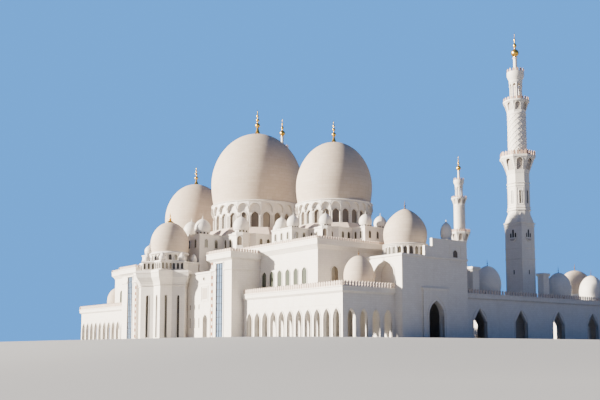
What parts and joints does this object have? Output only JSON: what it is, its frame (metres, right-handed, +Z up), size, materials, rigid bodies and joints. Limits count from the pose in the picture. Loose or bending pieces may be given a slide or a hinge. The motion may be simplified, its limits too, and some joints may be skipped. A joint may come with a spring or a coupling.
{
  "type": "mosque building, 1:10 scale model",
  "caption": "White marble domed mosque with a prayer hall, flanking domes, walled courtyard with arcades and corner minarets, at one tenth of its real size.",
  "frame": {"origin": "on the ground under the main dome, at the underside of the hall's floor", "axes": "+X along the prayer wall to its right end seen from outside, +Y from the prayer wall through the courtyard, +Z up"},
  "size_m": [17.1, 24.9862, 10.7],
  "materials": {
    "white_marble": "satin",
    "dome_marble": "satin",
    "roof_stone": "matte",
    "gilded_brass": "polished",
    "glazing": "gloss"
  },
  "bodies": {
    "root": {"hall_floor": "roof_stone", "hall_front_wall": "white_marble", "hall_courtyard_wall": "white_marble", "hall_side_wall_right": "white_marble", "hall_side_wall_left": "white_marble", "hall_roof": "roof_stone", "main_dome_base": "white_marble", "main_dome_drum": "white_marble", "main_dome": "dome_marble", "main_dome_finial": "gilded_brass", "flank_dome_base_right": "white_marble", "flank_dome_base_left": "white_marble", "flank_dome_drum_right": "white_marble", "flank_dome_drum_left": "white_marble", "flank_dome_right": "dome_marble", "flank_dome_left": "dome_marble", "flank_dome_finial_right": "gilded_brass", "flank_dome_finial_left": "gilded_brass", "bay_walls": "white_marble", "bay_drum": "white_marble", "bay_dome": "dome_marble", "bay_dome_finial": "gilded_brass", "link_wall_right": "white_marble", "link_wall_left": "white_marble", "pylon_right": "white_marble", "pylon_left": "white_marble", "pylon_glass_right": "glazing", "pylon_glass_left": "glazing", "corner_arcade_right": "white_marble", "corner_arcade_left": "white_marble", "corner_dome_right": "dome_marble", "corner_dome_left": "dome_marble", "side_gate_right": "white_marble", "side_gate_left": "white_marble", "side_gate_dome_right": "dome_marble", "side_gate_dome_left": "dome_marble", "side_arcade_wall_right": "white_marble", "side_arcade_wall_left": "white_marble", "side_arcade_roof_right": "white_marble", "side_arcade_roof_left": "white_marble", "side_arcade_colonnade_right": "white_marble", "side_arcade_colonnade_left": "white_marble", "far_arcade_right": "white_marble", "far_arcade_left": "white_marble", "portico": "white_marble", "far_gate": "white_marble", "far_gate_dome": "dome_marble", "minaret_shaft_near_right": "white_marble", "minaret_upper_near_right": "white_marble", "minaret_finial_near_right": "gilded_brass", "minaret_shaft_near_left": "white_marble", "minaret_upper_near_left": "white_marble", "minaret_finial_near_left": "gilded_brass", "minaret_shaft_far_right": "white_marble", "minaret_upper_far_right": "white_marble", "minaret_finial_far_right": "gilded_brass", "minaret_shaft_far_left": "white_marble", "minaret_upper_far_left": "white_marble", "minaret_finial_far_left": "gilded_brass"}
  },
  "joints": []
}
